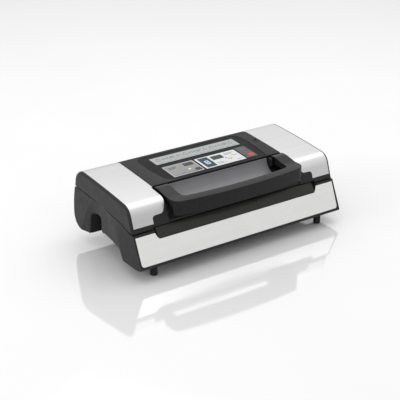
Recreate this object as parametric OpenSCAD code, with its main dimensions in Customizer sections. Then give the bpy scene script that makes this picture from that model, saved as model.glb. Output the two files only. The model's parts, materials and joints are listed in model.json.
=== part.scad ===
// Countertop vacuum sealer: a wedge-shaped base and a hinged lid with brushed steel skins,
// a raised dark control cover and a U-shaped lifting handle across the front.
// Millimetres. +Z is up, the front faces -Y, +X is the right-hand side.
// Origin: centre of the footprint at the level of the feet.

/* [Body] */
// Overall width across the two side cheeks
body_width = 388; // [384:1:396]
// Thickness of the brushed steel skins
skin = 1.0; // [0.8:0.1:1.2]
// Diameter of the small rubber feet
foot_diameter = 11.6; // [9:0.2:12]

/* [Chamber] */
// Half length of the vacuum trough, long enough for a 300 mm bag roll
trough_half = 150; // [140:1:152]
// Depth of the vacuum trough below the deck
trough_depth = 14; // [11:0.5:15]
// Width of the foam gasket ring
gasket_width = 7; // [5:0.5:8]

/* [Lid and handle] */
// Radius of the lid hinge pins
hinge_pin_radius = 1.8; // [1.5:0.1:2.2]
// Radius of the handle pivot pins
handle_pin_radius = 2.0; // [1.6:0.1:2.2]
// Radius of the latch cross shaft
shaft_radius = 2.5; // [2:0.1:2.8]

/* [Controls] */
// Clearance around each key cap
key_gap = 0.25; // [0.2:0.05:0.35]
// Height of a key cap above the fascia
key_proud = 0.7; // [0.6:0.1:0.9]

/* [Hidden] */
$fn = 48;
W = body_width / 2;
e = 0.01;
run = 0.05;
deck_z = 81.5;
deck_tilt = 8;
hinge_y = 93;
hinge_z = 92.4;
piv_y = -32;
piv_z = 109;
sh_y = -20;
sh_z = 97;
foot_r = foot_diameter / 2;
// places of the bottom screws and of the feet in one half of the base, [x, y]
SCREWS = [[140, -76], [164, 68]];
FEET = [[W - 33, -82], [W - 58, 66]];

// ---------- helpers ----------
function unit(v) = v / norm(v);
function nrm(P, i) = let (a = P[max(i - 1, 0)], b = P[min(i + 1, len(P) - 1)], t = unit(b - a)) [-t[1], t[0]];
function off(P, d) = [for (i = [0:len(P) - 1]) P[i] + d * nrm(P, i)];
function rev(P) = [for (i = [len(P) - 1:-1:0]) P[i]];
function band(P, a, b) = concat(off(P, a), rev(off(P, b)));
function arcp(cx, cy, r, a0, a1, n) =
  [for (i = [0:n]) let (a = a0 + (a1 - a0) * i / n) [cx + r * cos(a), cy + r * sin(a)]];
function rrect(x0, x1, y0, y1, r) = concat(
  arcp(x1 - r, y1 - r, r, 0, 90, 6), arcp(x0 + r, y1 - r, r, 90, 180, 6),
  arcp(x0 + r, y0 + r, r, 180, 270, 6), arcp(x1 - r, y0 + r, r, 270, 360, 6));
// smooth curve through the points of P, n steps a span
function cr(P, n) = concat([for (i = [0:len(P) - 2]) let (a = P[max(i - 1, 0)], b = P[i], c = P[i + 1],
  d = P[min(i + 2, len(P) - 1)]) for (k = [0:n - 1]) let (t = k / n)
  0.5 * (2 * b + (c - a) * t + (2 * a - 5 * b + 4 * c - d) * t * t + (3 * b - a - 3 * c + d) * t * t * t)],
  [P[len(P) - 1]]);
// mirrored plan polygon from its right half, listed front to rear
function both(P) = concat(P, [for (p = rev(P)) [-p[0], p[1]]]);

// side profile swept along X, front outline swept along Y, plan outline swept along Z
module ex(P, x0, x1) { translate([x0, 0, 0]) rotate([90, 0, 90]) linear_extrude(x1 - x0) polygon(P); }
module ey(P, y0, y1) { translate([0, y1, 0]) rotate([90, 0, 0]) linear_extrude(y1 - y0) polygon(P); }
module ez(P, z0, z1) { translate([0, 0, z0]) linear_extrude(z1 - z0) polygon(P); }
module box(x0, x1, y0, y1, z0, z1) { translate([x0, y0, z0]) cube([x1 - x0, y1 - y0, z1 - z0]); }
module rod(x0, x1, y, z, r) { translate([x0, y, z]) rotate([0, 90, 0]) cylinder(r = r, h = x1 - x0); }
module deck() { translate([0, 0, deck_z]) rotate([deck_tilt, 0, 0]) children(); }

// ---------- shared profiles, [y, z] ----------
// rear wall of the lid, bottom to top
LR = cr([[94, 93.6], [93.2, 99], [91.7, 106], [89.5, 111], [86.5, 115]], 3);
// crown of the lid, rear to front and down the front face
TP = concat(cr([[82.5, 118.4], [77, 121.2], [70, 122.5], [50, 121.4], [25, 119.5], [0, 117.2], [-25, 114.6],
  [-50, 111.6], [-56, 110.2], [-61, 107.6], [-65, 103.8], [-67.6, 99.5], [-69.3, 95.2]], 3), [[-74.8, 78.8]]);
// flat stretch of the crown that carries the control cover
TC = [[77, 123.1], [70, 122.6], [50, 121.4], [25, 119.5], [0, 117.2], [-25, 114.6], [-35, 113.4]];
// underside edge of the lid, front to rear
LB = concat([[-77, 72.1], [-76, 71.4]],
  cr([[-66.7, 72.0], [-43, 79.1], [-5.6, 84.6], [33.7, 89.5], [70, 92], [88, 93.2]], 3));
// falling apron behind the handle, top to bottom
AP = cr([[-26.4, 112.2], [-27.6, 107.5], [-29.8, 102.6], [-33, 98.2], [-37, 94.6], [-42, 91.8], [-48, 89.9],
  [-56, 88.4], [-61.5, 87.2]], 3);
// side outline of the base
BO = concat(cr([[93.4, 90.6], [95.4, 82], [97, 74], [98.7, 62], [99.3, 50], [98.9, 42], [97.4, 36], [94, 30],
  [88.3, 25.3], [82, 22.8], [75.6, 22]], 3), [[58.2, 22], [25, 36.7], [-7, 33.8], [-35.5, 32.2],
  [-38.7, 27.6], [-41.5, 22.5], [-44.9, 19.7], [-50, 18.4], [-57, 18], [-84, 18], [-93, 19],
  [-98.5, 20.6], [-99.9, 23], [-79.2, 69.8]],
  cr([[-66.7, 71.0], [-43, 78.1], [-5.6, 83.6], [33.7, 88.5], [70, 91], [88, 91.2]], 3));
// grip notch in each side of the base
GN = concat([[60, 5], [58.2, 23]], cr([[49.4, 55], [46.5, 60], [41.7, 63.2], [34, 65.3], [26, 65.7], [21.5, 63],
  [20.8, 58]], 3), [[25, 36.7], [26, 5]]);
GW = [[62, 20], [61.5, 24], [52.6, 56.5], [49, 62.5], [43, 66.4], [34.5, 68.5], [25, 68.9], [19.5, 66],
  [17.6, 58], [21.8, 36], [22, 34]];
// plate under the body
CB = [[83.4, 22.6], [61, 22.4], [53, 34.5], [-34, 33.2], [-43.5, 20.4], [-88.4, 18.6]];
// outline of the steel skin on the base front, right half seen from the front
FP = concat([[0, 57.4], [150.5, 57.4], [154, 61], [156.5, 66.8], [W - 3, 66.8]],
  arcp(W - 8, 30.2, 5, 0, -90, 5), [[0, 25.2]]);
// inner edge of the lid skins, right half seen from the front
LM = [[100, 60], [154.6, 60], [154.6, 87], [152.6, 89.6], [150, 90.4], [138, 90.9], [134.8, 93],
  [132.6, 98], [130, 103], [128, 108], [127.6, 112], [127.6, 130], [100, 130]];

// plan outlines, [x, y]
FASCIA = concat(arcp(88, 52, 14, 0, 90, 8), arcp(-86, 52, 14, 90, 180, 8), [[-100, 20], [-97.8, 6]],
  cr([[-96.4, -4], [-94.6, -12.5], [-90, -19], [-83, -22.4], [-74, -23.8]], 3),
  [[98, -23.8], [101.5, 6], [102.5, 32]]);
GUIDE = [[-79, 31.5], [85, 31.5], [85, 55.5], [-79, 55.5]];
LABEL_L = [[-78, -17], [-20.5, -17], [-20.5, 20], [-78, 20]];
LABEL_M = [[-16.5, -17], [62, -17], [62, 20], [-16.5, 20]];
LABEL_R = [[65, -16], [86, -16], [86, 23], [65, 23]];
WINDOW = [[-12.5, -14.5], [6.5, -14.5], [6.5, 17.5], [-12.5, 17.5]];
RED = rrect(72, 83.5, -13.8, -3.8, 2);
SEAL = rrect(11, 32, 3, 15, 1);
MODE = rrect(-42, -25, 7, 16, 1);
FOOD = rrect(-32.5, -22.5, -13.5, -5.5, 1);
// status lenses, [x, y, radius]
LENS_G = [-40.5, -4, 2.1];
LENS_V = [33.3, 0.2, 1.6];
LENS_Y = [39, -3.4, 1.9];
HANDLE = concat(both(concat([[124.6, -26.8], [124.8, -50]], arcp(111.8, -75.4, 13, 0, -83.15, 8),
  arcp(0, 854.9, 950, -84.2, -89.5, 6))), [[-101.5, -26.8]], arcp(-92.5, -66.47, 9, 180, 264.27, 6),
  arcp(0, 854.9, 935, 264.9, 275.1, 8), arcp(92.5, -66.47, 9, 275.73, 360, 6), [[101.5, -26.8]]);
// side outline of the handle
HP = concat([[-26.8, 106]], cr([[-26.8, 112.2], [-28.2, 114.6], [-31, 115.8], [-37, 116.4], [-44, 115.6],
  [-52, 113.6], [-60, 111.9], [-70, 111.1], [-84, 110.7], [-97, 109.5]], 3), [[-97, 87.4], [-79, 87.2],
  [-76.4, 88.2], [-72, 93.4], [-66, 99], [-58, 102.4], [-46, 103.8], [-34, 103.6], [-28.6, 103.4]]);

// a plate that follows the crown: plan outline P between heights a and b over the crown line
module plate(P, a, b) {
  intersection() {
    ez(P, 90, 140);
    ex(concat([for (p = TC) p + [0, b]], rev([for (p = TC) p + [0, a]])), -W, W);
  }
}

// ---------- base ----------
module grip_cut() {
  for (s = [-1, 1]) ex(GN, s > 0 ? W - 25 : -W - 5, s > 0 ? W + 5 : -W + 25);
}
module base_housing() {
  color([0.20, 0.20, 0.21]) difference() {
    union() {
      difference() {
        ex(BO, -W, W);
        ex([[62, 86.5], [87.5, 86.5], [92.3, 74], [95.2, 50], [93.2, 38], [86.5, 30], [83.6, 27], [83.6, 10],
          [-88.6, 10], [-88.6, 22], [-93.2, 25], [-79.5, 57], [-69.5, 67.6], [-69.5, 120], [62, 120]],
          -W + 10, W - 10);
        deck() box(-W + 10, W - 10, -72, 64, -3.05, 30);
        ex([[-71, 90], [-71, 69.4], [-72, 69.4], [-82.2, 56.8], [-84.8, 57.4], [-110, 57.4], [-110, 90]],
          -157, 157);
      }
      for (s = [-1, 1]) ex(GW, s > 0 ? W - 28 : -W + 9, s > 0 ? W - 9 : -W + 28);
      // seats for the deck and bosses for the screws
      deck() for (s = [-1, 1]) box(s * (W - 13.75) - 4.15, s * (W - 13.75) + 4.15, -66, 60, -6.05, -3.05);
      for (s = [-1, 1], p = SCREWS) translate([s * p[0], p[1], p[1] > 0 ? 25.1 : 21.6])
        cylinder(r = 4.5, h = p[1] > 0 ? 61.5 : 38);
      // fixed knuckles of the lid hinge
      for (s = [-1, 1], x = [104, 146]) {
        rod(s * x - 4, s * x + 4, hinge_y, hinge_z, 4.6);
        ex([[88.4, 92.4], [88.4, 80], [93, 80], [96.6, 84], [97.6, 92.4]], s * x - 4, s * x + 4);
      }
    }
    grip_cut();
    // shallow arched scallop in each flank
    for (s = [-1, 1]) translate([s * (W + 213.5), 15, 30]) rotate([0, s * 7.1, 0])
      translate([0, 0, -40]) cylinder(r = 220, h = 110);
    // inlay for the steel skin
    intersection() {
      ex([[-70, 90], [-98.2 + 0.4, 20], [-98.2 - skin * 1.1, 20], [-112, 20], [-90, 90]], -W, W);
      ey(both(FP), -112, -70);
      ex(band([[-80.6, 66.9], [-98.2, 25.1]], -8, skin), -W, W);
    }
    // pockets for the moving knuckles and bores for the pins
    for (s = [-1, 1]) {
      rod(s * 125 - 16.9, s * 125 + 16.9, hinge_y, hinge_z, 5.4);
      rod(s * 125 - 26, s * 125 + 26, hinge_y, hinge_z, hinge_pin_radius);
      // pilot bores of the bottom screws
      for (p = SCREWS) translate([s * p[0], p[1], 20]) cylinder(r = 1.4, h = 16);
    }
    // appliance inlet in the rear wall
    box(-162, -138, 88, 104, 40, 54);
    box(-164.6, -135.4, 95.1, 104, 37.4, 56.6);
    // breathing slots in the rear wall
    for (i = [0:9]) box(20 + i * 9, 25 + i * 9, 88, 104, 40, 58);
  }
}
module bottom_cover() {
  color([0.14, 0.14, 0.15]) difference() {
    ex(concat(CB, rev([for (p = CB) p + [0, 2.4]])), -W + 10.3, W - 10.3);
    for (s = [-1, 1]) box(s * (W - 15) - 15.6, s * (W - 15) + 15.6, 21.3, 62.6, 10, 60);
    for (x = [-1, 1]) {
      for (p = SCREWS) translate([x * p[0], p[1], 10]) cylinder(r = 1.7, h = 30);
      for (p = FEET) translate([x * p[0], p[1], 10]) cylinder(r = 2.4, h = 30);
    }
    for (i = [0:11]) box(-82 + i * 14, -76 + i * 14, -26, 14, 28, 40);
  }
}
module bottom_screws() {
  color([0.6, 0.6, 0.62]) for (x = [-1, 1], p = SCREWS) translate([x * p[0], p[1], p[1] > 0 ? 20.2 : 16.9]) {
    cylinder(r = 3, h = p[1] > 0 ? 2.2 : 2.1);
    cylinder(r = 1.4, h = 12);
  }
}
module front_panel() {
  color([0.80, 0.80, 0.80]) intersection() {
    ey(both(FP), -112, -70);
    ex(band([[-80.6, 66.9], [-98.2, 25.1]], 0, skin), -W, W);
  }
}
module bag_ledge() {
  color([0.32, 0.32, 0.30])
    ex([[-71.2, 72.2], [-73, 72.4], [-84.5, 58.3], [-82.6, 57.6], [-72.2, 69.7], [-71.2, 69.7]], -152, 152);
}
module chamber_deck() {
  color([0.11, 0.11, 0.12]) deck() difference() {
    union() {
      box(-W + 10.3, W - 10.3, -71.7, 63.7, -3, 0);
      box(-trough_half - 2.4, trough_half + 2.4, -44.4, 14.4, -trough_depth - 2.4, -1);
      box(-157, 157, -69, -55, -6, -1);
    }
    box(-trough_half, trough_half, -42, 12, -trough_depth, 5);
    // groove of the lower gasket
    gasket_ring(-1, 5);
    // channel of the heater bar
    box(-155.2, 155.2, -67.2, -56.8, -3.5, 5);
    // slots for the latch hooks
    for (s = [-1, 1]) box(s * (W - 23) - 5, s * (W - 23) + 5, -33.4, -12, -10, 5);
    // port of the vacuum hose
    translate([118, -15, -trough_depth - 5]) cylinder(r = 3.5, h = 8);
    // plunger hole of the lid switch
    translate([-W + 23.5, 26, -10]) cylinder(r = 2.6, h = 20);
  }
}
module gasket_ring(z0, z1) {
  g = gasket_width;
  difference() {
    ez(rrect(-164, 164, -51, 21, 12), z0, z1);
    ez(rrect(-164 + g, 164 - g, -51 + g, 21 - g, 12 - g / 2), z0 - 1, z1 + 1);
  }
}
module drip_tray() {
  color([0.62, 0.63, 0.64]) deck() difference() {
    union() {
      ez(rrect(-trough_half + 1, trough_half - 1, -41, 11, 6), -trough_depth, -1.2);
    }
    ez(rrect(-trough_half + 2.4, trough_half - 2.4, -39.6, 9.6, 5), -trough_depth + 1.2, 3);
    translate([118, -15, -trough_depth - 3]) cylinder(r = 3.5, h = 8);
  }
}
module lower_gasket() { color([0.16, 0.16, 0.16]) deck() gasket_ring(-1, 2); }
module heater_bar() {
  color([0.72, 0.68, 0.58]) deck() difference() {
    box(-155, 155, -67, -57, -3.5, 1);
    box(-153, 153, -63.6, -60.4, 0.6, 3);
  }
}
module sealing_strip() { color([0.75, 0.73, 0.70]) deck() box(-152.8, 152.8, -63.4, -60.6, 0.6, 1.0); }
module ptfe_tape() { color([0.55, 0.42, 0.28]) deck() box(-155, 155, -67, -57, 1.0, 1.25); }
module latch_keeper(s) {
  color([0.70, 0.70, 0.72]) {
    box(s * (W - 23) - 5, s * (W - 23) + 5, -11.9, -1, 70.6, 72.2);
    box(s * (W - 23) - 5, s * (W - 23) + 5, -2.6, -1, 70.6, 78.1);
  }
}
module latch_keeper_left() { latch_keeper(-1); }
module latch_keeper_right() { latch_keeper(1); }
module hinge_pin(s) {
  color([0.72, 0.72, 0.74]) rod(s * 125 - 25.2, s * 125 + 25.2, hinge_y, hinge_z, hinge_pin_radius);
}
module hinge_pin_left() { hinge_pin(-1); }
module hinge_pin_right() { hinge_pin(1); }
module foot(s, p, h) {
  color([0.08, 0.08, 0.08]) translate([s * p[0], p[1], 0]) {
    cylinder(r = foot_r, h = h);
    cylinder(r = 2.4, h = h + 3.6);
  }
}
module foot_front_left() { foot(-1, FEET[0], 18.5); }
module foot_front_right() { foot(1, FEET[0], 18.5); }
module foot_rear_left() { foot(-1, FEET[1], 22.4); }
module foot_rear_right() { foot(1, FEET[1], 22.4); }
module vacuum_pump() {
  color([0.78, 0.78, 0.75]) {
    box(-52, -4, 28, 66, 37.5, 72);
    translate([-28, 47, 72]) cylinder(r = 15, h = 6);
  }
}
module pump_motor() {
  color([0.55, 0.55, 0.57]) {
    rod(-112, -58, 47, 55.5, 17.5);
    rod(-58, -52, 47, 55.5, 6);
  }
}
module transformer() {
  color([0.45, 0.28, 0.16]) {
    box(66, 122, 38, 74, 37.5, 74);
    box(76, 112, 30, 82, 42, 69);
  }
}
module power_board() {
  color([0.10, 0.32, 0.18]) {
    box(18, 150, -32, 20, 39, 40.6);
    box(30, 54, -20, 0, 40.6, 54);
    box(100, 124, -24, -4, 40.6, 52);
  }
  color([0.1, 0.1, 0.12]) translate([74, -12, 40.6]) cylinder(r = 8, h = 14);
}
module vacuum_hose() {
  color([0.80, 0.80, 0.78]) {
    translate([-28, 47, 78]) cylinder(r = 2.4, h = 3);
    translate([-28, 47, 81]) sphere(r = 2.4);
    rod(-28, 10, 47, 81, 2.4);
    translate([10, 47, 81]) sphere(r = 2.4);
    translate([10, 47, 58]) cylinder(r = 2.4, h = 23);
    translate([10, 47, 58]) sphere(r = 2.4);
    translate([10, 47, 58]) rotate([90, 0, 0]) cylinder(r = 2.4, h = 59.6);
    translate([10, -12.6, 58]) sphere(r = 2.4);
    rod(10, 118, -12.6, 58, 2.4);
    translate([118, -12.6, 58]) sphere(r = 2.4);
    translate([118, -12.6, 58]) cylinder(r = 2.4, h = 6);
  }
}
module lid_switch() {
  color([0.85, 0.85, 0.82]) deck() {
    box(-W + 19, -W + 28, 18, 34, -14, -6.2);
    translate([-W + 23.5, 26, -6.3]) cylinder(r = 1.8, h = 8.3);
  }
}
module mains_inlet() {
  color([0.09, 0.09, 0.09]) difference() {
    union() {
      box(-164.5, -135.5, 95.2, 99.6, 37.5, 56.5);
      box(-161.8, -138.2, 84, 96, 40.2, 53.8);
    }
    ey([for (p = rrect(-159.5, -140.5, 42.5, 51.5, 4)) p], 88, 104);
  }
  color([0.75, 0.72, 0.6]) for (x = [-154, -146]) translate([x, 99, 47]) rotate([90, 0, 0])
    cylinder(r = 1.2, h = 14);
}

// ---------- lid ----------
module skin_pocket(s) {
  difference() {
    ex(band(TP, -6, skin), s > 0 ? 124.5 : -W + 4.2, s > 0 ? W - 4.2 : -124.5);
    ey([for (p = LM) [s * p[0], p[1]]], -110, -26);
  }
}
module lid_shell() {
  color([0.22, 0.22, 0.23]) difference() {
    union() {
      difference() {
        ex(concat(LR, TP, LB), -W, W);
        // hollow of the lid
        ex(concat(off(concat(LR, TP), 3.4), [[-71.4, 72], [-71.4, 40], [-22, 40], [90.4, 40]]),
          -W + 6, -129.8);
        ex(concat(off(concat(LR, TP), 3.4), [[-71.4, 72], [-71.4, 40], [-22, 40], [90.4, 40]]),
          129.8, W - 6);
        intersection() {
          ex(concat(off(concat(LR, TP), 3.4), [[-71.4, 72], [-71.4, 40], [-22, 40], [90.4, 40]]), -140, 140);
          box(-140, 140, -20.5, 100, 30, 140);
        }
        // bay of the handle and mouth over the bag ledge
        ex(concat(off(AP, 2.2), [[-62.2, 85.4], [-64.5, 84.6], [-68, 82.6], [-71.8, 79.8], [-73.8, 76.8],
          [-74.4, 74.6], [-90, 74.6], [-90, 150], [-24.2, 150]]), -127.4, 127.4);
        ex(concat(off(AP, 4), [[-66, 80.7], [-68.6, 80], [-68.6, 50], [-19.5, 50], [-19.5, 112]]),
          -127.4, 127.4);
        deck() box(-135, 135, -68, 30, -30, 8.2);
        deck() box(-135, 135, -26, 30, -30, 11.8);
        ex([[-50, 60], [-50, 77.4], [-62, 76.2], [-74.4, 74.8], [-90, 74.8], [-90, 60]], -157, 157);
        // seat and window of the control cover
        ex(concat([for (p = TC) p + [0, 9]], rev([for (p = TC) p - [0, 1.4]])), -124.6, 124.6);
      }
      // moving knuckles of the hinge
      for (s = [-1, 1]) {
        rod(s * 125 - 16.4, s * 125 + 16.4, hinge_y, hinge_z, 4.6);
        ex([[88.4, 92.4], [93.8, 92.4], [92.6, 100], [88.4, 100]], s * 125 - 16.4, s * 125 + 16.4);
      }
      // inner bearings of the handle pins
      for (s = [-1, 1]) ex([[-38, 102.5], [-36, 112.2], [-34, 113.2], [-29, 113.2], [-24, 111.5], [-24, 96],
        [-29, 96]], s > 0 ? 97.2 : -100.2, s > 0 ? 100.2 : -97.2);
    }
    // window under the control cover
    ez(rrect(-118, 118, -17, 64, 3), 100, 140);
    for (s = [-1, 1]) {
      skin_pocket(s);
      for (x = [104, 146]) rod(s * x - 4.4, s * x + 4.4, hinge_y, hinge_z, 5.3);
      rod(s * 125 - 17, s * 125 + 17, hinge_y, hinge_z, hinge_pin_radius + run);
      rod(s > 0 ? 98 : -130, s > 0 ? 130 : -98, piv_y, piv_z, handle_pin_radius);
    }
    rod(-W + 14, W - 14, sh_y, sh_z, shaft_radius + 0.8);
    port() cylinder(r = 4.3, h = 30, center = true);
  }
}
module top_panel(s) {
  color([0.82, 0.82, 0.83]) difference() {
    ex(band(TP, 0, skin), s > 0 ? 124.7 : -W + 4.2, s > 0 ? W - 4.2 : -124.7);
    ey([for (p = LM) [s * p[0], p[1]]], -110, -26);
  }
}
module left_top_panel() { top_panel(-1); }
module right_top_panel() { top_panel(1); }
module centre_cover() {
  color([0.27, 0.27, 0.28]) difference() {
    intersection() {
      plate(both([[124.3, -25.2], [124.3, 67], [121, 70.3], [0, 70.3]]), -1.4, 1.0);
      box(-130, 130, -25.2, 70.3, 90, 140);
    }
    plate(FASCIA, -0.7, 6);
    for (k = [RED, SEAL, MODE, FOOD]) key_hole(k);
    port() cylinder(r = 4.0, h = 30, center = true);
  }
}
module key_hole(K) { ez([for (p = K) p + key_gap * unit(p - centre(K))], 100, 140); }
function centre(K) = [for (j = [0, 1]) (max([for (p = K) p[j]]) + min([for (p = K) p[j]])) / 2];
module control_fascia() {
  color([0.17, 0.17, 0.18]) difference() {
    plate(FASCIA, -0.7, 0.5);
    for (k = [RED, SEAL, MODE, FOOD]) key_hole(k);
  }
}
module guide_strip() { color([0.73, 0.74, 0.74]) plate(GUIDE, 0.5, 0.8); }
module left_label() {
  color([0.72, 0.72, 0.72]) difference() {
    plate(LABEL_L, 0.5, 0.8);
    key_hole(MODE);
    key_hole(FOOD);
    lens_hole(LENS_G);
  }
}
module middle_label() {
  color([0.90, 0.90, 0.91]) difference() {
    plate(LABEL_M, 0.5, 0.8);
    key_hole(SEAL);
    ez(WINDOW, 100, 140);
    for (l = [LENS_V, LENS_Y]) lens_hole(l);
  }
}
module right_label() { color([0.33, 0.33, 0.34]) difference() { plate(LABEL_R, 0.5, 0.8); key_hole(RED); } }
module display_window() { color([0.25, 0.33, 0.48]) plate(WINDOW, 0.5, 1.0); }
module key_cap(K, c) { color(c) plate(K, -1.6, 0.5 + key_proud); }
module key_red() { key_cap(RED, [0.86, 0.16, 0.22]); }
module key_seal() { key_cap(SEAL, [0.15, 0.15, 0.17]); }
module key_mode() { key_cap(MODE, [0.15, 0.15, 0.17]); }
module key_food() { key_cap(FOOD, [0.15, 0.15, 0.17]); }
module lens_hole(l) { translate([l[0], l[1], 100]) cylinder(r = l[2], h = 40); }
module lens(l, c) {
  color(c) intersection() {
    lens_hole(l);
    plate([[-60, -20], [60, -20], [60, 20], [-60, 20]], 0.5, 1.1);
  }
}
module lens_green() { lens(LENS_G, [0.70, 0.85, 0.15]); }
module lens_violet() { lens(LENS_V, [0.55, 0.40, 0.75]); }
module lens_yellow() { lens(LENS_Y, [0.92, 0.75, 0.15]); }
module control_board() {
  color([0.10, 0.34, 0.20]) difference() {
    plate([[-84, -14], [90, -14], [90, 58], [-84, 58]], -7.6, -6.0);
    for (x = [-70, 76], y = [-6, 50]) translate([x, y, 100]) cylinder(r = 1.6, h = 30);
  }
  color([0.12, 0.12, 0.13]) {
    plate([[-14, -12], [8, -12], [8, 18], [-14, 18]], -6.0, -1.5);
    for (k = [RED, SEAL, MODE, FOOD]) let (c = centre(k))
      plate([for (p = [[-3, -3], [3, -3], [3, 3], [-3, 3]]) c + p], -6.0, -2.5);
  }
}
module port() { translate([118, 33, 121.15]) rotate([4.35, 0, 0]) children(); }
module accessory_port() {
  color([0.12, 0.12, 0.12]) port() difference() {
    union() {
      translate([0, 0, -9]) cylinder(r = 4.0, h = 9);
      cylinder(r = 4.9, h = 0.6);
    }
    cylinder(r = 2.4, h = 30, center = true);
  }
}
module lid_liner() {
  color([0.13, 0.13, 0.14]) difference() {
    union() {
      deck() {
        box(-W + 6.3, W - 6.3, -53, 58, 4.8, 7.2);
        box(-155.5, 155.5, -66.4, -52, 6.3, 7.4);
        box(-154, 154, -46, 16, 4.8, 7.8);
        box(-152.4, 152.4, -25.4, 14.4, 7, 11.2);
      }
      // bearings of the latch shaft
      for (x = [-150, -60, 60, 150]) translate([x - 3, 0, 0])
        ex([[-23.6, 84], [-23.6, 97.4], [-22.8, 99.6], [-21, 100.8], [-17, 100.8], [-15, 98], [-15, 84]], 0, 6);
    }
    deck() {
      box(-150, 150, -23, 12, 0, 9);
      box(-150, 150, -42, 12, 0, 5.8);
      gasket_ring(0, 6.2);
      for (s = [-1, 1]) box(s * (W - 23) - 5, s * (W - 23) + 5, -33.4, -10, 0, 20);
    }
    rod(-180, 180, sh_y, sh_z, shaft_radius + run);
  }
}
module upper_gasket() { color([0.17, 0.17, 0.17]) deck() gasket_ring(2.4, 6.2); }
module pressure_bar() { color([0.30, 0.10, 0.08]) deck() box(-155, 155, -67, -57, 1.8, 6.3); }
module front_apron() { color([0.40, 0.40, 0.41]) ex(band(AP, 0, 2.2), -95.5, 95.5); }
module handle_pin(s) {
  color([0.70, 0.70, 0.72]) rod(s > 0 ? 98.2 : -129.6, s > 0 ? 129.6 : -98.2, piv_y, piv_z, handle_pin_radius);
}
module handle_pin_left() { handle_pin(-1); }
module handle_pin_right() { handle_pin(1); }
module handle() {
  color([0.24, 0.24, 0.25]) difference() {
    intersection() {
      ez(HANDLE, 80, 120);
      ex(HP, -W, W);
    }
    rod(-135, 135, piv_y, piv_z, handle_pin_radius + run);
  }
}
module latch_shaft() { color([0.68, 0.68, 0.70]) rod(-W + 17, W - 17, sh_y, sh_z, shaft_radius); }
module latch_hook(s) {
  color([0.62, 0.62, 0.65]) difference() {
    union() {
      rod(s * (W - 23) - 3, s * (W - 23) + 3, sh_y, sh_z, 5.2);
      ex([[-23.6, 97], [-16.4, 97], [-16.4, 70.2], [-12.4, 69.8], [-12.8, 66], [-20, 64.4], [-23.6, 66]],
        s * (W - 23) - 3, s * (W - 23) + 3);
    }
    rod(s * (W - 23) - 5, s * (W - 23) + 5, sh_y, sh_z, shaft_radius);
  }
}
module latch_hook_left() { latch_hook(-1); }
module latch_hook_right() { latch_hook(1); }

base_housing();
bottom_cover();
bottom_screws();
front_panel();
bag_ledge();
chamber_deck();
drip_tray();
lower_gasket();
heater_bar();
sealing_strip();
ptfe_tape();
latch_keeper_left();
latch_keeper_right();
hinge_pin_left();
hinge_pin_right();
foot_front_left();
foot_front_right();
foot_rear_left();
foot_rear_right();
vacuum_pump();
pump_motor();
transformer();
power_board();
vacuum_hose();
lid_switch();
mains_inlet();
lid_shell();
left_top_panel();
right_top_panel();
centre_cover();
control_fascia();
guide_strip();
left_label();
middle_label();
right_label();
display_window();
key_red();
key_seal();
key_mode();
key_food();
lens_green();
lens_violet();
lens_yellow();
control_board();
accessory_port();
lid_liner();
upper_gasket();
pressure_bar();
front_apron();
handle_pin_left();
handle_pin_right();
handle();
latch_shaft();
latch_hook_left();
latch_hook_right();
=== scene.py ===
import json
import math
import bmesh
import bpy
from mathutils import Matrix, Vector
from mathutils.bvhtree import BVHTree


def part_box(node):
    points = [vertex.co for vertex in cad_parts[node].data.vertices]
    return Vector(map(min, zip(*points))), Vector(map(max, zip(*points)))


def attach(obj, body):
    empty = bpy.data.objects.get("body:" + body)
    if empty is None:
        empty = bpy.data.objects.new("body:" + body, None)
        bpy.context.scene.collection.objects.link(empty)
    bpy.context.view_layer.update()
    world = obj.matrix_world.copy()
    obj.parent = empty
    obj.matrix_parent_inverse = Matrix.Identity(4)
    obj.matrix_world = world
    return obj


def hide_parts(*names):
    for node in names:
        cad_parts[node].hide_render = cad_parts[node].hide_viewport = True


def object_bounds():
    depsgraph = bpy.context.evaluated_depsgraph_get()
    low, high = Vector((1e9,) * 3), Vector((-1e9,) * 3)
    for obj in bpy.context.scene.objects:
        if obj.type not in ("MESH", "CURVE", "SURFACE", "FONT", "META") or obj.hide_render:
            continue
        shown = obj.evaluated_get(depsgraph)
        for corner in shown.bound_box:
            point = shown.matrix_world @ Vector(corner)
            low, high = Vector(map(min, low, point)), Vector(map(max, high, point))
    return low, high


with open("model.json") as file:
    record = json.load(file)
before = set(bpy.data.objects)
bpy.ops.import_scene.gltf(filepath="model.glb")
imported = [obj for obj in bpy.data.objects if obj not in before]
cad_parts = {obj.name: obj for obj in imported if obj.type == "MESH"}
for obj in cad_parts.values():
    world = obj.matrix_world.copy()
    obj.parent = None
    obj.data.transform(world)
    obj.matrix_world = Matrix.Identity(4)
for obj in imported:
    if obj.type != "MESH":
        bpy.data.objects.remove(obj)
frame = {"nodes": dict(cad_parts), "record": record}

# The visual model of a vacuum sealer. Most pieces are finished copies of the CAD nodes, with rounded edges. The
# feet, screw heads, foam rings, pressure strip and printed marks are built here around the nodes they stand for.
# Lengths are metres, and MM turns millimetres into them.

CAD_BOX = [list(c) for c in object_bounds()]
NODES = frame["nodes"]
BODY_OF = {n: b for b, members in frame["record"]["behaviour"]["bodies"].items() for n in members}
SLOT_OF = {s["node"]: s["material_slot"] for s in frame["record"]["subparts"]}
LO, HI = Vector(CAD_BOX[0]), Vector(CAD_BOX[1])
MM = 0.001


# ---------------------------------------------------------------- node materials
MAT = {}


def new_mat(name):
    """A new material in MAT, as its node tree and its shader."""
    m = MAT[name] = bpy.data.materials.new(name)
    m.use_nodes = True
    nt = m.node_tree
    return nt, nt.nodes["Principled BSDF"]


def link(nt, a, b):
    nt.links.new(a, b)


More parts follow.
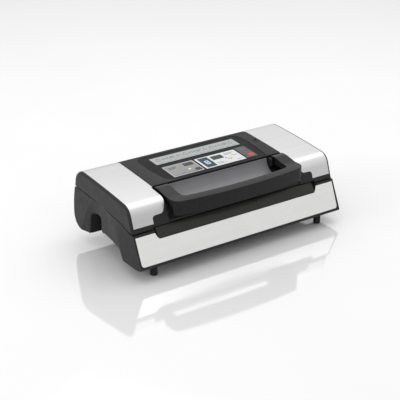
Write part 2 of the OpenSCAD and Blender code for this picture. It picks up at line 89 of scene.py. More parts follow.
def coords(nt, scale=(1, 1, 1)):
    """Object coordinates in metres, scaled along each axis."""
    tc = nt.nodes.new("ShaderNodeTexCoord")
    mp = nt.nodes.new("ShaderNodeMapping")
    mp.inputs["Scale"].default_value = scale
    link(nt, tc.outputs["Object"], mp.inputs["Vector"])
    return mp.outputs["Vector"]


def noise(nt, vec, scale, detail=4.0, rough=0.55):
    n = nt.nodes.new("ShaderNodeTexNoise")
    n.inputs["Scale"].default_value = scale
    n.inputs["Detail"].default_value = detail
    n.inputs["Roughness"].default_value = rough
    link(nt, vec, n.inputs["Vector"])
    return n.outputs["Fac"]


def ramp(nt, fac, lo, hi, a, b):
    """fac from lo to hi, mapped to a to b."""
    r = nt.nodes.new("ShaderNodeMapRange")
    r.inputs["From Min"].default_value = lo
    r.inputs["From Max"].default_value = hi
    r.inputs["To Min"].default_value = a
    r.inputs["To Max"].default_value = b
    link(nt, fac, r.inputs["Value"])
    return r.outputs["Result"]


def mixc(nt, fac, a, b):
    """A colour between a and b, where fac runs from 0 to 1. Each colour is a socket or a plain value."""
    m = nt.nodes.new("ShaderNodeMix")
    m.data_type = "RGBA"
    link(nt, fac, m.inputs["Factor"])
    for sock, v in ((m.inputs["A"], a), (m.inputs["B"], b)):
        if isinstance(v, (tuple, list)):
            sock.default_value = (*v[:3], 1)
        else:
            link(nt, v, sock)
    return m.outputs["Result"]


def bump(nt, height, dist, strength=1.0):
    b = nt.nodes.new("ShaderNodeBump")
    b.inputs["Distance"].default_value = dist
    b.inputs["Strength"].default_value = strength
    link(nt, height, b.inputs["Height"])
    return b.outputs["Normal"]


def wear(nt):
    """1 on edges that stand out and 0 elsewhere."""
    g = nt.nodes.new("ShaderNodeNewGeometry")
    return ramp(nt, g.outputs["Pointiness"], 0.53, 0.60, 0.0, 1.0)


def plastic(name, base, rough=0.42, grain=900, depth=0.00003, edge=1.7, spec=0.5, vary=0.12):
    """Moulded plastic. grain and depth set the moulded texture, edge lightens worn edges, and vary sets how much
    the colour and the gloss drift over the surface."""
    nt, p = new_mat(name)
    v = coords(nt)
    cloud = noise(nt, v, 26, 5)
    dark = tuple(c * (1 - vary) for c in base)
    lite = tuple(min(1, c * (1 + vary)) for c in base)
    col = mixc(nt, ramp(nt, cloud, 0.35, 0.65, 0, 1), dark, lite)
    worn = tuple(min(1, c * edge + 0.004) for c in base)
    rub = nt.nodes.new("ShaderNodeMath")
    rub.operation = "MULTIPLY"
    link(nt, wear(nt), rub.inputs[0])
    link(nt, ramp(nt, noise(nt, v, 160, 4), 0.42, 0.62, 0, 0.7), rub.inputs[1])
    link(nt, mixc(nt, rub.outputs[0], col, worn), p.inputs["Base Color"])
    gloss = noise(nt, v, 90, 6)
    link(nt, ramp(nt, gloss, 0.3, 0.7, rough - 0.4 * vary, rough + 0.5 * vary), p.inputs["Roughness"])
    p.inputs["Specular IOR Level"].default_value = spec
    link(nt, bump(nt, noise(nt, v, grain, 3, 0.6), depth), p.inputs["Normal"])


def brushed(name, base, rough):
    """Steel brushed along X, with fine and broad strokes and a slight drift of tone."""
    nt, p = new_mat(name)
    fine = noise(nt, coords(nt, (2.5, 900, 900)), 1.0, 6, 0.7)
    broad = noise(nt, coords(nt, (1.2, 120, 120)), 1.0, 3, 0.5)
    blotch = noise(nt, coords(nt), 14, 4)
    c1 = tuple(c * 0.95 for c in base)
    c2 = tuple(min(1, c * 1.03) for c in base)
    col = mixc(nt, ramp(nt, fine, 0.30, 0.70, 0, 1), c1, c2)
    col = mixc(nt, ramp(nt, broad, 0.35, 0.65, 0, 0.3), col, tuple(c * 0.95 for c in base))
    col = mixc(nt, ramp(nt, blotch, 0.45, 0.75, 0, 0.22), col, tuple(min(1, c * 1.12) for c in base))
    link(nt, col, p.inputs["Base Color"])
    p.inputs["Metallic"].default_value = 1.0
    link(nt, ramp(nt, fine, 0.25, 0.75, rough - 0.05, rough + 0.08), p.inputs["Roughness"])
    p.inputs["Anisotropic"].default_value = 0.45
    t = nt.nodes.new("ShaderNodeTangent")
    t.direction_type = "RADIAL"
    t.axis = "X"
    link(nt, t.outputs["Tangent"], p.inputs["Tangent"])
    link(nt, bump(nt, fine, 0.000006, 0.6), p.inputs["Normal"])


def metal(name, base, rough):
    """Plain machined or pressed metal with a cloudy finish."""
    nt, p = new_mat(name)
    v = coords(nt)
    n = noise(nt, v, 60, 6, 0.65)
    dull = tuple(c * 0.85 for c in base)
    link(nt, mixc(nt, ramp(nt, n, 0.35, 0.65, 0, 1), dull, base), p.inputs["Base Color"])
    p.inputs["Metallic"].default_value = 1.0
    link(nt, ramp(nt, n, 0.3, 0.7, rough - 0.07, rough + 0.09), p.inputs["Roughness"])
    link(nt, bump(nt, noise(nt, v, 700, 3), 0.00001), p.inputs["Normal"])


def rubber(name, base, rough, pore=1400, depth=0.00006, foam=False):
    """Matt rubber, or foam with open cells. pore is the number of grains or cells to a metre."""
    nt, p = new_mat(name)
    v = coords(nt)
    if foam:
        cells = nt.nodes.new("ShaderNodeTexVoronoi")
        cells.inputs["Scale"].default_value = pore
        link(nt, v, cells.inputs["Vector"])
        h = cells.outputs["Distance"]
    else:
        h = noise(nt, v, pore, 3, 0.6)
    dark, lite = tuple(c * 0.8 for c in base), tuple(min(1, c * 1.25) for c in base)
    link(nt, mixc(nt, ramp(nt, noise(nt, v, 70, 5), 0.35, 0.65, 0, 1), dark, lite), p.inputs["Base Color"])
    link(nt, ramp(nt, h, 0.2, 0.8, rough - 0.05, min(1, rough + 0.1)), p.inputs["Roughness"])
    p.inputs["Specular IOR Level"].default_value = 0.3
    link(nt, bump(nt, h, depth), p.inputs["Normal"])


def printed(name, base, rough, fleck=0.06):
    """Printed film or ink, with fine flecks in its tone."""
    nt, p = new_mat(name)
    v = coords(nt)
    dark, lite = tuple(c * (1 - fleck) for c in base), tuple(min(1, c * (1 + fleck)) for c in base)
    link(nt, mixc(nt, ramp(nt, noise(nt, v, 420, 5, 0.7), 0.35, 0.65, 0, 1), dark, lite), p.inputs["Base Color"])
    link(nt, ramp(nt, noise(nt, v, 60, 4), 0.3, 0.7, rough - 0.05, rough + 0.07), p.inputs["Roughness"])
    link(nt, bump(nt, noise(nt, v, 1500, 2), 0.00001), p.inputs["Normal"])


def lit(name, base, glow, rough=0.18, coat=0.6, spec=0.5):
    """Clear coloured plastic with a faint glow of its own."""
    nt, p = new_mat(name)
    n = noise(nt, coords(nt), 240, 4)
    link(nt, mixc(nt, ramp(nt, n, 0.3, 0.7, 0, 1), tuple(c * 0.9 for c in base), base), p.inputs["Base Color"])
    link(nt, ramp(nt, n, 0.3, 0.7, rough, rough + 0.1), p.inputs["Roughness"])
    p.inputs["Emission Color"].default_value = (*base, 1)
    p.inputs["Emission Strength"].default_value = glow
    p.inputs["Specular IOR Level"].default_value = spec
    p.inputs["Coat Weight"].default_value = coat


def woven(name, base, pitch=1500, rough=0.5):
    """Coated glass cloth: threads both ways, pitch waves to a metre."""
    nt, p = new_mat(name)
    weave = nt.nodes.new("ShaderNodeMath")
    weave.operation = "MULTIPLY"
    for i, (direction, scale) in enumerate((("X", (pitch, 1, 1)), ("Y", (1, pitch, pitch)))):
        w = nt.nodes.new("ShaderNodeTexWave")
        w.inputs["Scale"].default_value = 1.0
        w.inputs["Distortion"].default_value = 0.4
        w.bands_direction = direction
        link(nt, coords(nt, scale), w.inputs["Vector"])
        link(nt, w.outputs["Fac"], weave.inputs[i])
    link(nt, mixc(nt, weave.outputs[0], tuple(c * 0.7 for c in base), base), p.inputs["Base Color"])
    link(nt, ramp(nt, noise(nt, coords(nt), 100, 4), 0.3, 0.7, rough - 0.08, rough + 0.1), p.inputs["Roughness"])
    link(nt, bump(nt, weave.outputs[0], 0.00005), p.inputs["Normal"])


plastic("body_plastic", (0.014, 0.014, 0.015), 0.44, spec=0.24)
plastic("lid_plastic", (0.014, 0.014, 0.015), 0.42, spec=0.26)
plastic("under_plastic", (0.016, 0.016, 0.017), 0.55, spec=0.35)
metal("screw_steel", (0.55, 0.55, 0.56), 0.32)
brushed("brushed_front", (0.84, 0.845, 0.83), 0.30)
# The left and right top panels are one brushed steel: the left one's darker base colour (0.60) is painted shade, and
# the right one's lighter base colour (0.70) is painted light.
brushed("brushed_left", (0.60, 0.60, 0.60), 0.32)
brushed("brushed_right", (0.70, 0.70, 0.70), 0.30)
plastic("ledge_gloss", (0.020, 0.020, 0.017), 0.20, 300, 0.000003, edge=1.0, spec=0.26)
plastic("deck_plastic", (0.016, 0.016, 0.017), 0.40, spec=0.4)
metal("tray_metal", (0.60, 0.61, 0.62), 0.34)
rubber("gasket_lower", (0.028, 0.028, 0.029), 0.85, 1800, 0.00012, foam=True)
rubber("gasket_upper", (0.028, 0.028, 0.029), 0.85, 1800, 0.00012, foam=True)
plastic("bar_insulator", (0.42, 0.38, 0.30), 0.6, 500, 0.00005)
metal("strip_alloy", (0.62, 0.60, 0.57), 0.28)
woven("ptfe", (0.36, 0.23, 0.12))
metal("keeper_steel", (0.50, 0.50, 0.52), 0.35)
metal("pin_steel", (0.60, 0.60, 0.62), 0.22)
rubber("foot_rubber", (0.012, 0.012, 0.012), 0.6)
plastic("pump_plastic", (0.55, 0.55, 0.52), 0.5)
metal("motor_steel", (0.42, 0.42, 0.44), 0.3)
metal("core_steel", (0.24, 0.15, 0.09), 0.5)
plastic("board_green", (0.02, 0.12, 0.05), 0.35)
rubber("hose_rubber", (0.55, 0.55, 0.52), 0.45)
plastic("switch_plastic", (0.60, 0.60, 0.56), 0.45)
plastic("inlet_plastic", (0.012, 0.012, 0.013), 0.45, spec=0.4)
plastic("cover_plastic", (0.014, 0.014, 0.014), 0.42, 900, 0.00002, edge=1.2, spec=0.16)
plastic("fascia_plastic", (0.006, 0.006, 0.0065), 0.38, 600, 0.00001, edge=1.0, spec=0.08)
printed("label_silver", (0.33, 0.35, 0.345), 0.40)
printed("label_grey", (0.225, 0.225, 0.225), 0.40)
printed("label_white", (0.58, 0.59, 0.59), 0.38)
printed("label_dark", (0.048, 0.048, 0.050), 0.38, 0.15)
lit("display_glass", (0.020, 0.036, 0.055), 0.04, 0.12, coat=0.0, spec=0.22)
lit("key_red", (0.42, 0.010, 0.026), 0.08, 0.25, coat=0.1)
plastic("key_dark", (0.022, 0.023, 0.026), 0.38, 500, 0.00002, spec=0.35)
lit("lens_green", (0.50, 0.66, 0.06), 0.35)
lit("lens_violet", (0.24, 0.18, 0.38), 0.2)
lit("lens_yellow", (0.80, 0.47, 0.06), 0.35)
plastic("port_plastic", (0.010, 0.010, 0.010), 0.45, spec=0.3)
plastic("liner_plastic", (0.020, 0.020, 0.022), 0.42, spec=0.4)
rubber("pressure_rubber", (0.045, 0.012, 0.010), 0.5, 900)
plastic("apron_gloss", (0.165, 0.165, 0.172), 0.36, 200, 0.000002, edge=1.0, spec=0.45, vary=0.04)
plastic("handle_plastic", (0.005, 0.005, 0.0055), 0.24, 900, 0.000002, edge=1.0, spec=0.21, vary=0.03)
metal("shaft_steel", (0.55, 0.55, 0.57), 0.25)
metal("hook_steel", (0.50, 0.50, 0.53), 0.35)
printed("grey_ink", (0.13, 0.14, 0.135), 0.4)
printed("dark_ink", (0.05, 0.05, 0.052), 0.4, 0.15)
lit("display_light", (0.50, 0.66, 0.80), 0.22)

for n, o in NODES.items():
    o.data.materials.clear()
    o.data.materials.append(MAT[SLOT_OF[n]])


# ---------------------------------------------------------------- mesh helpers
def put(name, bm, slot, body, smooth=32, mat=None):
    """A mesh as a finished piece on a body, with the material of a record slot or a named one."""
    me = bpy.data.meshes.new(name)
    bm.normal_update()
    bm.to_mesh(me)
    bm.free()
    me.materials.append(MAT[mat or slot])
    o = bpy.data.objects.new(name, me)
    bpy.context.scene.collection.objects.link(o)
    me.shade_smooth()
    me.set_sharp_from_angle(angle=math.radians(smooth))
    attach(o, body)
    return o


def clean_copy(node):
    """A CAD node's mesh with its doubled points merged and its flat faces joined up."""
    bm = bmesh.new()
    bm.from_mesh(NODES[node].data)
    bmesh.ops.remove_doubles(bm, verts=bm.verts, dist=2e-6)
    bmesh.ops.dissolve_limit(bm, angle_limit=math.radians(0.3), verts=bm.verts, edges=bm.edges)
    bmesh.ops.recalc_face_normals(bm, faces=bm.faces)
    return bm


def refine(node, width, seg=2, weight=None):
    """A finished visual of a CAD node, with edges rounded over width millimetres in seg steps. weight gives each
    sharp edge's share of the width; without it every sharp edge gets the whole."""
    bm = clean_copy(node)
    if weight:
        lay = bm.edges.layers.float.new("bevel_weight_edge")
        for e in bm.edges:
            if len(e.link_faces) == 2 and e.calc_face_angle(0) > math.radians(28):
                e[lay] = weight(e)
    o = put(node + "_shape", bm, SLOT_OF[node], BODY_OF[node])
    b = o.modifiers.new("edge", "BEVEL")
    b.width = width * MM
    b.segments = seg
    b.limit_method = "WEIGHT" if weight else "ANGLE"
    b.angle_limit = math.radians(34)
    b.use_clamp_overlap = node != "lid_shell"
    b.harden_normals = True
    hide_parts(node)


def at_cheek(e):
    """Whether an edge lies on the outside of a side cheek."""
    return all(abs(abs(v.co.x) - HI.x) < 1e-5 for v in e.verts)


def inner_face(e):
    """The face beside a cheek edge that isn't the cheek."""
    return min(e.link_faces, key=lambda f: abs(f.normal.x))


def lid_edges(e):
    """The cheeks' rims are round, except along the joint with the base."""
    if not at_cheek(e):
        return 0.05
    return 0.14 if inner_face(e).normal.z < -0.5 else 1.0


def base_edges(e):
    """The cheeks' rims are round, except along the joint with the lid."""
    if not at_cheek(e):
        return 0.06
    f = inner_face(e)
    if f.normal.z > 0.7:
        return 0.16
    return 0.75 if f.normal.y < -0.8 else 0.9


def handle_edges(e):
    """The edges round the handle's top are rounder than those below."""
    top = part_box("handle")[1][2]
    return 1.0 if min(v.co.z for v in e.verts) > top - 10 * MM else 0.55


def loft(rings, closed=True, caps=False):
    """Quads between rings of points; each ring is a closed loop."""
    bm = bmesh.new()
    vs = [[bm.verts.new(p) for p in ring] for ring in rings]
    n = len(vs[0])
    last = len(vs) if closed else len(vs) - 1
    for i in range(last):
        a, b = vs[i], vs[(i + 1) % len(vs)]
        for j in range(n):
            bm.faces.new((a[j], a[(j + 1) % n], b[(j + 1) % n], b[j]))
    if caps and not closed:
        bm.faces.new(reversed(vs[0]))
        bm.faces.new(vs[-1])
    bmesh.ops.recalc_face_normals(bm, faces=bm.faces)
    return bm


def turned(profile, centre, n=40):
    """A profile of (radius, height) from the bottom up, turned about an upright axis."""
    rings = [[Vector((centre[0] + r * math.cos(t), centre[1] + r * math.sin(t), centre[2] + h))
              for t in (2 * math.pi * k / n for k in range(n))] for r, h in profile]
    return loft(rings, closed=False, caps=True)


# ---------------------------------------------------------------- housings, skins and handle
refine("base_housing", 3.2, 4, base_edges)
refine("lid_shell", 3.8, 4, lid_edges)
refine("handle", 3.0, 4, handle_edges)
EDGED = (
    (0.3, 2, ("front_panel", "left_top_panel", "right_top_panel")),
    (0.5, 2, ("bag_ledge", "centre_cover", "front_apron", "chamber_deck", "lid_liner", "bottom_cover", "drip_tray")),
    (0.3, 2, ("control_fascia", "mains_inlet", "accessory_port", "heater_bar", "latch_keeper_left",
              "latch_keeper_right", "latch_hook_left", "latch_hook_right", "latch_shaft", "lid_switch")),
    (0.5, 3, ("key_red", "key_seal", "key_mode", "key_food")),
    (0.08, 1, ("guide_strip", "left_label", "middle_label", "right_label", "display_window", "lens_green",
               "lens_violet", "lens_yellow")),
)
for width, steps, nodes in EDGED:
    for n in nodes:
        refine(n, width, steps)


# ---------------------------------------------------------------- feet and screws
def foot(node):
    """A rubber foot with a soft rim, a shallow hollow in its sole and two rings moulded round it."""
    lo, hi = (Vector(c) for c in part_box(node))
    c, r, m = (lo + hi) / 2, (hi.x - lo.x) / 2, MM
    rim = (v.co.z for v in NODES[node].data.vertices if abs((v.co - c).xy.length - r) < 0.2 * m)
    h = max(rim) - lo.z
    stem = 2.3 * m
    prof = [(r * 0.30, 0.7 * m), (r * 0.55, 0.6 * m), (r * 0.70, 0), (r - 0.9 * m, 0), (r - 0.3 * m, 0.3 * m),
            (r, 1.0 * m)]
    for ring in (0.42 * h, 0.62 * h):
        prof += [(r, ring - 0.8 * m), (r - 0.5 * m, ring - 0.3 * m), (r - 0.5 * m, ring + 0.3 * m),
                 (r, ring + 0.8 * m)]
    prof += [(r, h - 0.4 * m), (r - 0.3 * m, h), (stem, h), (stem, hi.z - lo.z)]
    o = put(node + "_rubber", turned(prof, (c.x, c.y, lo.z)), SLOT_OF[node], BODY_OF[node], 50)
    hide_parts(node)


for n in NODES:
    if n.startswith("foot_"):
        foot(n)


def islands(node):
    """The separate bits of a node as lists of points."""
    bm = clean_copy(node)
    seen, out = set(), []
    for v in bm.verts:
        if v in seen:
            continue
        stack, pts = [v], []
        seen.add(v)
        while stack:
            a = stack.pop()
            pts.append(a.co.copy())
            for e in a.link_edges:
                b = e.other_vert(a)
                if b not in seen:
                    seen.add(b)
                    stack.append(b)
        out.append(pts)
    bm.free()
    return out


def screws():
    """Pan heads with a crossed recess, one on each bottom screw, in place of the plain ones."""
    bm = bmesh.new()
    for pts in islands("bottom_screws"):
        z0 = min(p.z for p in pts)
        head = [p for p in pts if p.z < z0 + 0.5 * MM]
        c = sum(head, Vector()) / len(head)
        r = max((p - c).xy.length for p in head)
        shank = 1.3 * MM
        turns = [2 * math.pi * k / 48 for k in range(48)]

        def circle(radius, up):
            return [Vector((c.x + radius * math.cos(t), c.y + radius * math.sin(t), z0 + up * MM)) for t in turns]

        def cross(arm, up):
            """As many points as a circle has, round the outline of a cross."""
            out = []
            for t in turns:
                a = arm if max(abs(math.cos(t)), abs(math.sin(t))) > 0.95 else arm * 0.36
                out.append(Vector((c.x + a * math.cos(t), c.y + a * math.sin(t), z0 + up * MM)))
            return out

        part = loft([cross(r * 0.18, 1.2), cross(r * 0.50, 0.9), cross(r * 0.56, 0), circle(r * 0.62, 0),
                     circle(r * 0.85, 0.15), circle(r, 0.7), circle(r, 2.0), circle(shank, 2.05),
                     circle(shank, 4.0)], closed=False, caps=True)
        me = bpy.data.meshes.new("tmp")
        part.to_mesh(me)
        part.free()
        bm.from_mesh(me)
        bpy.data.meshes.remove(me)
    o = put("bottom_screw_heads", bm, SLOT_OF["bottom_screws"], BODY_OF["bottom_screws"], 40)
    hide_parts("bottom_screws")


screws()


# ---------------------------------------------------------------- foam gaskets and pressure strip
def deck_frame():
    """Rotation and origin of the tilted chamber deck, from the largest flat face of its node."""
    bm = clean_copy("chamber_deck")
    top = max((f for f in bm.faces if f.normal.z > 0.9), key=lambda f: f.calc_area())
    nz = top.normal.copy()
    p = top.verts[0].co.copy()
    bm.free()
    ny = Vector((0, nz.z, -nz.y)).normalized()
    origin = p - ny * p.dot(ny)
    return Vector((1, 0, 0)), ny, nz, Vector((0, origin.y, origin.z))


DX, DY, DZ, DO = deck_frame()


def to_deck(p):
    """A point in the deck's frame."""
    d = p - DO
    return Vector((d.x, d.dot(DY), d.dot(DZ)))


def from_deck(p):
    """A point of the deck's frame in the object's frame."""
    return DO + DX * p[0] + DY * p[1] + DZ * p[2]


def tree_of(node):
    bm = bmesh.new()
    bm.from_mesh(NODES[node].data)
    tree = BVHTree.FromBMesh(bm)
    bm.free()
    return tree


def ring_path(hx, y0, y1, r, n=10, run=24):
    """A rounded rectangle in the deck plane as (point, outward direction) pairs."""
    out = []
    corners = ((hx - r, y1 - r, 0), (-hx + r, y1 - r, 90), (-hx + r, y0 + r, 180), (hx - r, y0 + r, 270))
    for i, (cx, cy, a) in enumerate(corners):
        for k in range(n + 1):
            t = math.radians(a + 90 * k / n)
            out.append((Vector((cx + r * math.cos(t), cy + r * math.sin(t))), Vector((math.cos(t), math.sin(t)))))
        t = math.radians(a + 90)
        d = Vector((math.cos(t), math.sin(t)))
        p, q = Vector((cx, cy)) + d * r, Vector(corners[(i + 1) % 4][:2]) + d * r
        out += [(p.lerp(q, k / run), d) for k in range(1, run)]
    return out


def gasket(node, crown):
    """A foam ring with a crowned face that gives a little here and there. crown is +1 where the soft face looks up
    and -1 where it looks down."""
    pts = [to_deck(v.co) for v in NODES[node].data.vertices]
    hx, y0, y1 = max(p.x for p in pts), min(p.y for p in pts), max(p.y for p in pts)
    z0, z1 = min(p.z for p in pts), max(p.z for p in pts)
    mid = from_deck((0, (y0 + y1) / 2, (z0 + z1) / 2))
    w = hx - abs(tree_of(node).ray_cast(mid, Vector((1, 0, 0)))[0].x)
    face, back = (z1, z0) if crown > 0 else (z0, z1)
    soft = 0.06 * MM
    section = ((-0.5, 0), (-0.5, 0.55), (-0.46, 0.74), (-0.38, 0.88), (-0.24, 0.965), (0, 1.0),
               (0.24, 0.965), (0.38, 0.88), (0.46, 0.74), (0.5, 0.55), (0.5, 0))
    rings = []
    for i, (p, d) in enumerate(ring_path(hx - w / 2, y0 + w / 2, y1 - w / 2, 12 * MM - w / 2)):
        give = soft * math.sin(i * 1.7) * math.sin(i * 0.37)
        ring = []
        for u, v in section:
            q = p + d * (u * w)
            ring.append(from_deck((q.x, q.y, back + (face - back) * v - (give + soft) * crown * v)))
        rings.append(ring)
    o = put(node + "_foam", loft(rings), SLOT_OF[node], BODY_OF[node], 60)
    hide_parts(node)


gasket("lower_gasket", 1)
gasket("upper_gasket", -1)


def pressure_strip():
    """The silicone strip over the heater: a rounded face with fine ribs along it."""
    pts = [to_deck(v.co) for v in NODES["pressure_bar"].data.vertices]
    lo = Vector(min(p[i] for p in pts) for i in range(3))
    hi = Vector(max(p[i] for p in pts) for i in range(3))
    w, h, c = hi.y - lo.y, hi.z - lo.z, (hi.y + lo.y) / 2
    prof = [(-0.5, 1.0), (-0.5, 0.30), (-0.47, 0.16), (-0.40, 0.06), (-0.32, 0.015)]
    for k in range(5):
        u = -0.24 + 0.12 * k
        prof += [(u - 0.036, 0.0), (u - 0.018, 0.05), (u + 0.018, 0.05), (u + 0.036, 0.0)]
    prof += [(0.32, 0.015), (0.40, 0.06), (0.47, 0.16), (0.5, 0.30), (0.5, 1.0)]
    rings = [[from_deck((x, c + u * w * s, lo.z + v * h)) for u, v in prof]
             for x, s in ((lo.x, 0.94), (lo.x + 0.6 * MM, 1.0), (hi.x - 0.6 * MM, 1.0), (hi.x, 0.94))]
    o = put("pressure_bar_strip", loft(rings, closed=False, caps=True), SLOT_OF["pressure_bar"],
            BODY_OF["pressure_bar"], 24)
    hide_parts("pressure_bar")


pressure_strip()


# ---------------------------------------------------------------- printed marks on the labels
INK_FROM, INK_TO = 0.01 * MM, 0.12 * MM  # how far the ink's back and face stand off the label


def oval(cx, cy, rx, ry, n=20, turn=0.0):
    c, s = math.cos(turn), math.sin(turn)
    return [(cx + rx * math.cos(t) * c - ry * math.sin(t) * s, cy + rx * math.cos(t) * s + ry * math.sin(t) * c)
            for t in (2 * math.pi * k / n for k in range(n))]


def slab(x0, x1, y0, y1):
    return [(x0, y0), (x1, y0), (x1, y1), (x0, y1)]


def marks(name, node, mat, plates=(), rings=()):
    """Printed marks on a label: filled outlines and outline bands, all in millimetres, as one thin piece."""
    tree = tree_of(node)
    bm = bmesh.new()

    def lift(pts, up):
        """The outline as points on the label's face, raised by up."""
        out = []
        for x, y in pts:
            hit = tree.ray_cast(Vector((x * MM, y * MM, HI.z + 50 * MM)), Vector((0, 0, -1)))[0]
            out.append(bm.verts.new((hit.x, hit.y, hit.z + up)))
        return out

    for outline in plates:
        back, face = lift(outline, INK_FROM), lift(outline, INK_TO)
        bm.faces.new(face)
        bm.faces.new(reversed(back))
        n = len(outline)
        for i in range(n):
            bm.faces.new((back[i], back[(i + 1) % n], face[(i + 1) % n], face[i]))
    for outer, inner in rings:
        loops = [lift(p, u) for p, u in ((outer, INK_FROM), (outer, INK_TO), (inner, INK_TO), (inner, INK_FROM))]
        n = len(outer)
        for k in range(4):
            a, b = loops[k], loops[(k + 1) % 4]
            for i in range(n):
                bm.faces.new((a[i], a[(i + 1) % n], b[(i + 1) % n], b[i]))
    bmesh.ops.recalc_face_normals(bm, faces=bm.faces)
    put(name, bm, "label_dark" if "ink" in mat else "label_white", BODY_OF[node], 30, mat)


def mm_box(node):
    """A node's left, right, front and back in millimetres."""
    lo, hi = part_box(node)
    return lo[0] / MM, hi[0] / MM, lo[1] / MM, hi[1] / MM


def guide_icons():
    """A row of simple food pictures along the guide strip: fruit, fish, loaf and drop, in turn."""
    x0, x1, y0, y1 = mm_box("guide_strip")
    count, cy = 12, (y0 + y1) / 2 + 1.5
    step = (x1 - x0 - 8) / count
    plates, rings = [], []
    for i in range(count):
        cx = x0 + 4 + step * (i + 0.5)
        kind = i % 4
        if kind == 0:
            rings.append((oval(cx, cy - 0.5, 4.0, 4.2), oval(cx, cy - 0.5, 3.0, 3.2)))
            plates.append(oval(cx + 1.4, cy + 5.0, 1.9, 0.8, 12, 0.7))
        elif kind == 1:
            rings.append((oval(cx - 0.8, cy, 4.2, 2.6), oval(cx - 0.8, cy, 3.3, 1.7)))
            plates.append([(cx + 3.2, cy), (cx + 5.4, cy + 2.4), (cx + 5.4, cy - 2.4)])
            plates.append(oval(cx - 2.8, cy + 0.6, 0.5, 0.5, 10))
        elif kind == 2:
            rings.append((oval(cx, cy, 4.6, 3.0, 24), oval(cx, cy, 3.7, 2.1, 24)))
            for k in (-1.6, 0, 1.6):
                plates.append(slab(cx + k - 0.35, cx + k + 0.35, cy - 1.5, cy + 1.5))
        else:
            rings.append((oval(cx, cy - 0.8, 3.0, 3.6), oval(cx, cy - 0.8, 2.1, 2.7)))
            plates.append([(cx - 1.1, cy + 3.0), (cx + 1.1, cy + 3.0), (cx, cy + 6.0)])
        plates.append(slab(cx - 3.4, cx + 3.4, y0 + 2.0, y0 + 2.9))
    plates += [slab(x0 + 4 + step * i - 0.15, x0 + 4 + step * i + 0.15, y0 + 2, y1 - 2) for i in range(1, count)]
    marks("guide_marks", "guide_strip", "grey_ink", plates, rings)


def label_marks():
    """Lines, rings and dots in place of lettering, and a figure in the display."""
    x0, x1, y0, y1 = mm_box("left_label")
    marks("left_label_marks", "left_label", "dark_ink",
          plates=[slab(x0 + 6, x0 + 22, y1 - 9.0, y1 - 7.4), slab(x0 + 6, x0 + 17, y1 - 12.6, y1 - 11.2),
                  slab(x0 + 5, x1 - 22, y0 + 3.2, y0 + 3.9), slab(x1 - 21, x1 - 13, y0 + 3.0, y0 + 4.4),
                  oval(x1 - 27.5, y0 + 13, 0.8, 0.8, 12)],
          rings=[(oval(x1 - 34, y0 + 8, 1.9, 1.9, 14), oval(x1 - 34, y0 + 8, 1.4, 1.4, 14))])
    marks("left_label_edge", "left_label", "label_white",
          rings=[(slab(x0 + 0.3, x1 - 0.3, y0 + 0.3, y1 - 0.3), slab(x0 + 1.1, x1 - 1.1, y0 + 1.1, y1 - 1.1))])
    x0, x1, y0, y1 = mm_box("middle_label")
    marks("middle_label_marks", "middle_label", "grey_ink",
          plates=[slab(x1 - 24, x1 - 6, y1 - 7.0, y1 - 5.8), slab(x1 - 26, x1 - 12, y1 - 10.4, y1 - 9.4),
                  slab(x1 - 16, x1 - 4, y1 - 17, y1 - 16), slab(x0 + 27, x0 + 44, y0 + 5.4, y0 + 6.4),
                  slab(x0 + 27, x0 + 39, y0 + 9.0, y0 + 9.9), slab(x1 - 14, x1 - 5, y0 + 5.0, y0 + 5.9)],
          rings=[(oval(x1 - 23.0, y0 + 13.6, 3.3, 3.3), oval(x1 - 23.0, y0 + 13.6, 2.7, 2.7))])
    x0, x1, y0, y1 = mm_box("right_label")
    marks("right_label_marks", "right_label", "grey_ink",
          plates=[slab(x0 + 4, x1 - 4, y1 - 8.0, y1 - 7.0), slab(x0 + 6, x1 - 6, y1 - 11.0, y1 - 10.2)])
    x0, x1, y0, y1 = mm_box("display_window")
    cx, cy = (x0 + x1) / 2, (y0 + y1) / 2 - 1
    marks("display_figure", "display_window", "display_light",
          plates=[slab(cx - 1.6, cx + 1.6, cy - 0.7, cy + 0.7)],
          rings=[(slab(cx - 3.6, cx + 3.6, cy - 5.8, cy + 5.8), slab(cx - 1.9, cx + 1.9, cy - 4.1, cy + 4.1))])


guide_icons()
label_marks()


# ---------------------------------------------------------------- floor, light, camera
def floor():
    """A flat, white, polished floor under and round the object."""
    nt, p = new_mat("floor_white")
    v = coords(nt)
    link(nt, mixc(nt, ramp(nt, noise(nt, v, 3, 3), 0.3, 0.7, 0, 1), (0.76, 0.76, 0.76), (0.78, 0.78, 0.78)),
         p.inputs["Base Color"])
    link(nt, ramp(nt, noise(nt, v, 8, 3), 0.3, 0.7, 0.05, 0.08), p.inputs["Roughness"])
    p.inputs["IOR"].default_value = 2.45
    bm = bmesh.new()
    half = 8.0
    bmesh.ops.create_grid(bm, x_segments=2, y_segments=2, size=half)
    me = bpy.data.meshes.new("floor")
    bm.to_mesh(me)
    bm.free()
    me.materials.append(MAT["floor_white"])
    o = bpy.data.objects.new("floor", me)
    o.location.z = LO.z - 0.2 * MM
    bpy.context.scene.collection.objects.link(o)


floor()


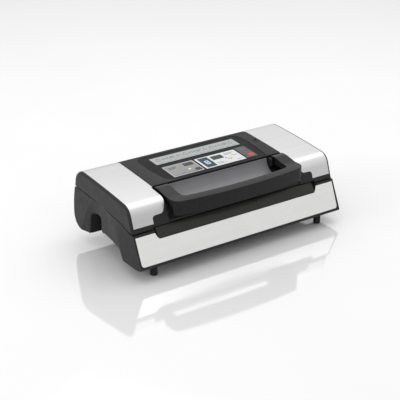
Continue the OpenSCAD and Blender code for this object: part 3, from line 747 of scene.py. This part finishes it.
def area(name, loc, target, size, power):
    """A white softbox at loc that faces target. size is its width and height, and power is in watts."""
    light = bpy.data.lights.new(name, "AREA")
    light.shape = "RECTANGLE"
    light.size, light.size_y = size
    light.energy = power
    o = bpy.data.objects.new(name, light)
    o.location = loc
    o.rotation_mode = "QUATERNION"
    o.rotation_quaternion = (Vector(target) - Vector(loc)).to_track_quat("-Z", "Y")
    bpy.context.scene.collection.objects.link(o)


def studio():
    """A pale room that darkens towards the horizon, as black flags round a product table do."""
    w = bpy.data.worlds.new("studio")
    w.use_nodes = True
    nt = w.node_tree
    tc = nt.nodes.new("ShaderNodeTexCoord")
    sep = nt.nodes.new("ShaderNodeSeparateXYZ")
    link(nt, tc.outputs["Generated"], sep.inputs["Vector"])
    shade = ramp(nt, sep.outputs["Z"], 0.02, 0.30, 0.55, 0.97)
    link(nt, mixc(nt, shade, (0, 0, 0), (1, 1, 1)), nt.nodes["Background"].inputs["Color"])
    nt.nodes["Background"].inputs["Strength"].default_value = 1.0
    bpy.context.scene.world = w


studio()
area("top_box", (0.35, 0.25, 1.60), (0, 0, 0.08), (1.9, 1.9), 11)
area("left_box", (-2.0, 0.3, 0.9), (0, 0, 0.06), (1.0, 0.8), 10)
bpy.context.scene.view_settings.view_transform = "Standard"


def camera(turn, drop, away, aim, lens):
    """A camera that stands front left of aim, turn and drop degrees round and up from it, and away metres off."""
    turn, drop = math.radians(turn), math.radians(drop)
    look = Vector((math.sin(turn) * math.cos(drop), math.cos(turn) * math.cos(drop), -math.sin(drop)))
    cam = bpy.data.cameras.new("camera")
    cam.sensor_width = 36
    cam.lens = lens
    cam.clip_start, cam.clip_end = 0.05, 50
    o = bpy.data.objects.new("camera", cam)
    o.location = Vector(aim) - look * away
    o.rotation_mode = "QUATERNION"
    o.rotation_quaternion = look.to_track_quat("-Z", "Y")
    bpy.context.scene.collection.objects.link(o)
    bpy.context.scene.camera = o


camera(turn=35.16, drop=23.64, away=1.733, aim=(-0.0233, -0.0073, 0.0606), lens=97.4)
